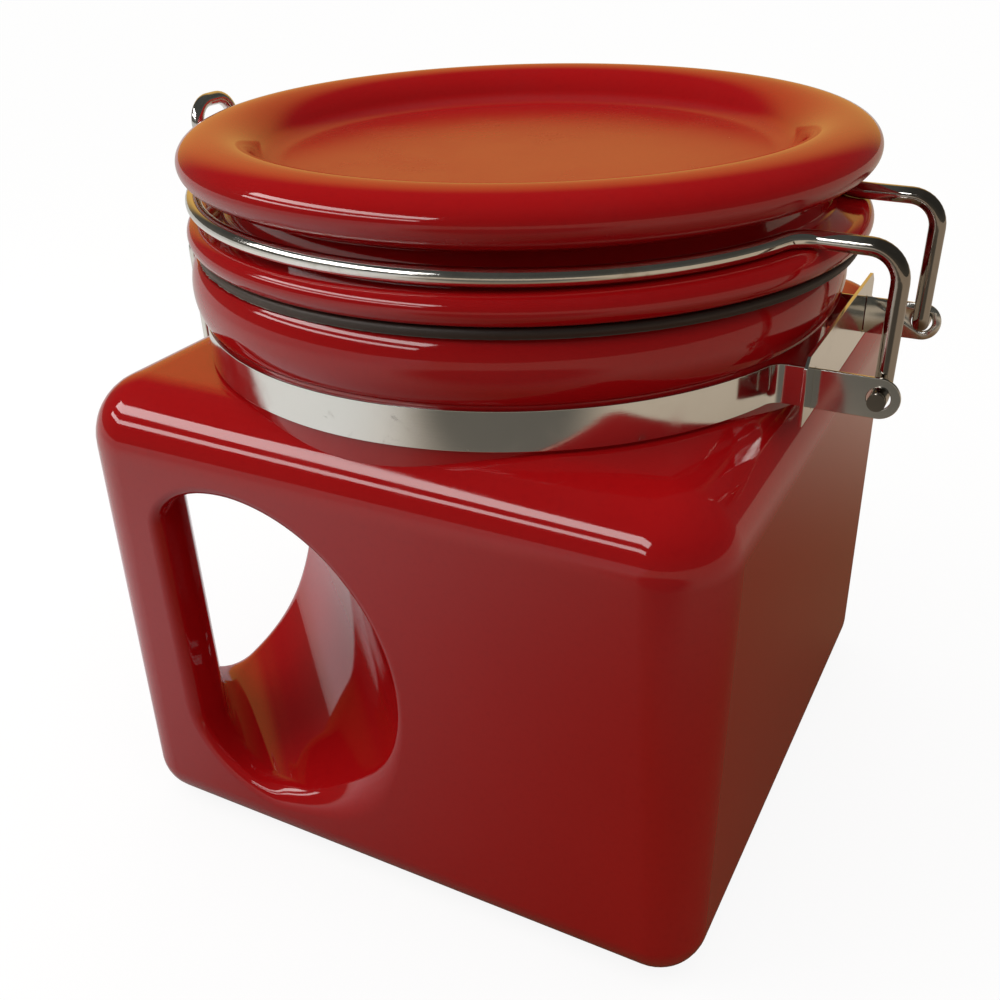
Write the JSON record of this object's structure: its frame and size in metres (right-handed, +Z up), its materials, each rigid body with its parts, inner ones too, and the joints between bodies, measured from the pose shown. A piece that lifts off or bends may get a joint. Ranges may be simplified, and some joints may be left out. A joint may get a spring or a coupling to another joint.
{
  "type": "coffee canister",
  "caption": "Square glazed ceramic canister with a corner hand hole, a round neck and a hinged bail-wire lid with gasket and clasp.",
  "frame": {"origin": "centre of the foot, on the surface that the canister stands on", "axes": "+Z up, +X towards the lid's hinge, -X towards the clasp, -Y towards the front face"},
  "size_m": [0.1458, 0.1215, 0.1319],
  "materials": {
    "red_glaze": "gloss",
    "gasket": "matte",
    "chromed_wire": "polished",
    "steel_band": "polished"
  },
  "bodies": {
    "canister": {"ceramic_body": "red_glaze", "band_front": "steel_band", "band_rear": "steel_band", "hinge_keeper": "steel_band", "clasp_keeper": "steel_band"},
    "lid_assembly": {"lid": "red_glaze", "lid_gasket": "gasket", "lid_ring_wire": "chromed_wire"},
    "lever": {"clasp_lever": "chromed_wire"},
    "link": {"clasp_link": "chromed_wire"}
  },
  "joints": [
    {"name": "lid_hinge", "type": "hinge", "parent": "canister", "child": "lid_assembly", "pos_m": [0.0703, 0, 0.0973], "axis": [0, 1, 0], "range_deg": [0, 105]},
    {"name": "lever_pivot", "type": "hinge", "parent": "canister", "child": "lever", "pos_m": [-0.0665, 0, 0.0973], "axis": [0, 1, 0], "range_deg": [-177.4, 0]},
    {"name": "link_pivot", "type": "hinge", "parent": "lever", "child": "link", "pos_m": [-0.06997, 0, 0.10395], "axis": [0, 1, 0], "range_deg": [0, 358.4]}
  ],
  "couplings": [
    {"joint": "link_pivot", "follows": "lever_pivot", "ratio": -2.0197}
  ]
}
